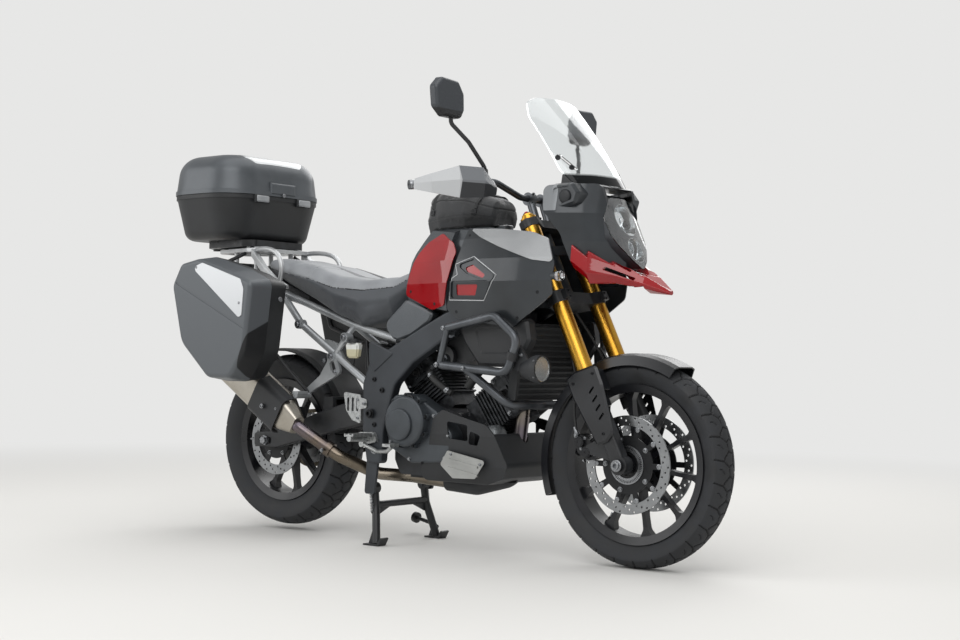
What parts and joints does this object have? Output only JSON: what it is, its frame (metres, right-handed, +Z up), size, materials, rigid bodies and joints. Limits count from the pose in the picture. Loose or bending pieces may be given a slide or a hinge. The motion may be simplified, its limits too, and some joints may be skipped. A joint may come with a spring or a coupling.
{
  "type": "adventure motorcycle",
  "caption": "Long-travel touring motorcycle on its centre stand, with hard side cases, a top case, crash bars, fog lamps and a tank bag.",
  "frame": {"origin": "on the floor, under the middle of the whole machine", "axes": "+X forward, +Y to the rider's left, +Z up"},
  "size_m": [2.364, 0.928, 1.5477],
  "materials": {
    "black_plastic": "moulded plastic, black grain",
    "cowl_red": "painted cover, red gloss",
    "plate_silver": "pressed sheet, bright",
    "hose_rubber": "rubber hose",
    "bar_black": "steel tube, black powder coat",
    "bar_silver": "steel tube, dark silver paint",
    "engine_black": "die-cast aluminium, black paint",
    "disc_steel": "ground stainless steel",
    "cover_grey": "die-cast aluminium, grey paint",
    "exhaust_steel": "stainless tube, browned by heat",
    "cast_black": "cast aluminium, satin black",
    "gold_anodised": "turned aluminium, gold anodised",
    "rim_black": "cast aluminium, black powder coat",
    "tyre": "moulded road tyre rubber",
    "tank_grey": "painted cover, dark grey",
    "grey_plastic": "moulded plastic, satin dark grey",
    "lamp_clear": "clear moulded lens",
    "frame_dark": "steel and cast beams, dark grey satin paint",
    "exhaust_silver": "satin stainless sheet",
    "cowl_grey": "painted panel, dark grey satin",
    "rack_silver": "cast aluminium, silver paint",
    "seat_fabric": "foam under a coated cover",
    "case_black": "moulded plastic, black",
    "spear_silver": "painted panel, light silver grey",
    "frame_silver": "cast aluminium, silver paint",
    "swingarm_black": "cast aluminium, satin black paint",
    "lamp_red": "red moulded lens",
    "bag_fabric": "woven nylon",
    "case_grey": "moulded plastic, satin grey",
    "screen_clear": "clear moulded screen"
  },
  "bodies": {
    "chassis": {"airbox": "black_plastic", "beak": "cowl_red", "belly_pan": "black_plastic", "belly_plates": "plate_silver", "case_rails": "bar_black", "crash_bars": "bar_silver", "cylinders": "engine_black", "drive_chain": "disc_steel", "engine_case": "engine_black", "engine_covers": "cover_grey", "exhaust_pipes": "exhaust_steel", "fog_lamps": "black_plastic", "fuel_tank": "tank_grey", "headlamp": "black_plastic", "instrument_panel": "black_plastic", "lamp_lenses": "lamp_clear", "main_frame": "frame_dark", "muffler": "exhaust_silver", "muffler_covers": "black_plastic", "nose_cowl": "cowl_grey", "radiator": "engine_black", "radiator_shrouds": "black_plastic", "rear_hugger": "black_plastic", "rear_rack": "rack_silver", "rider_pegs": "rack_silver", "seat": "seat_fabric", "side_case_bases": "case_black", "side_cowls": "cowl_grey", "side_panels": "cowl_grey", "spear_panels": "spear_silver", "subframe": "frame_silver", "swingarm": "swingarm_black", "tail_lamps": "lamp_red", "tail_unit": "black_plastic", "tank_bag": "bag_fabric", "tank_panels": "cowl_red", "top_case_base": "case_black", "windscreen": "screen_clear"},
    "steering": {"fork_yokes": "cast_black", "fork_tubes": "gold_anodised", "fork_lowers": "cast_black", "front_fender": "black_plastic", "front_calipers": "cast_black", "handlebar": "bar_black", "hand_controls": "black_plastic", "hand_guards": "grey_plastic", "mirrors": "black_plastic", "brake_hoses": "hose_rubber"},
    "front_wheel": {"front_rim": "rim_black", "front_tyre": "tyre", "front_discs": "disc_steel"},
    "rear_wheel": {"rear_rim": "rim_black", "rear_tyre": "tyre", "rear_disc": "disc_steel", "rear_sprocket": "disc_steel"},
    "centre_stand": {"centre_stand": "bar_black"},
    "side_stand": {"side_stand": "bar_black"},
    "top_case_lid": {"top_case_lid": "case_grey"},
    "side_case_lid_right": {"side_case_lid_right": "case_black"},
    "side_case_lid_left": {"side_case_lid_left": "case_black"}
  },
  "joints": [
    {"name": "steering", "type": "hinge", "parent": "chassis", "child": "steering", "pos_m": [0.53149, 0, 0.90259], "axis": [-0.4305, 0, 0.9026], "range_deg": [-40, 40]},
    {"name": "front_wheel_spin", "type": "hinge", "parent": "steering", "child": "front_wheel", "pos_m": [0.853, 0, 0.329], "axis": [0, 1, 0], "continuous": true},
    {"name": "rear_wheel_spin", "type": "hinge", "parent": "chassis", "child": "rear_wheel", "pos_m": [-0.702, 0, 0.339], "axis": [0, 1, 0], "continuous": true},
    {"name": "centre_stand_fold", "type": "hinge", "parent": "chassis", "child": "centre_stand", "pos_m": [-0.159, 0, 0.196], "axis": [0, 1, 0], "range_deg": [0, 75]},
    {"name": "side_stand_fold", "type": "hinge", "parent": "chassis", "child": "side_stand", "pos_m": [-0.052, 0.206, 0.3], "axis": [0, -1, 0], "range_deg": [0, 80]},
    {"name": "top_case_hinge", "type": "hinge", "parent": "chassis", "child": "top_case_lid", "pos_m": [-0.782, 0, 1.262], "axis": [0, 1, 0], "range_deg": [0, 70]},
    {"name": "side_case_hinge_right", "type": "hinge", "parent": "chassis", "child": "side_case_lid_right", "pos_m": [-0.683, -0.372, 0.56], "axis": [1, 0, 0], "range_deg": [0, 70]},
    {"name": "side_case_hinge_left", "type": "hinge", "parent": "chassis", "child": "side_case_lid_left", "pos_m": [-0.683, 0.372, 0.56], "axis": [-1, 0, 0], "range_deg": [0, 70]}
  ]
}
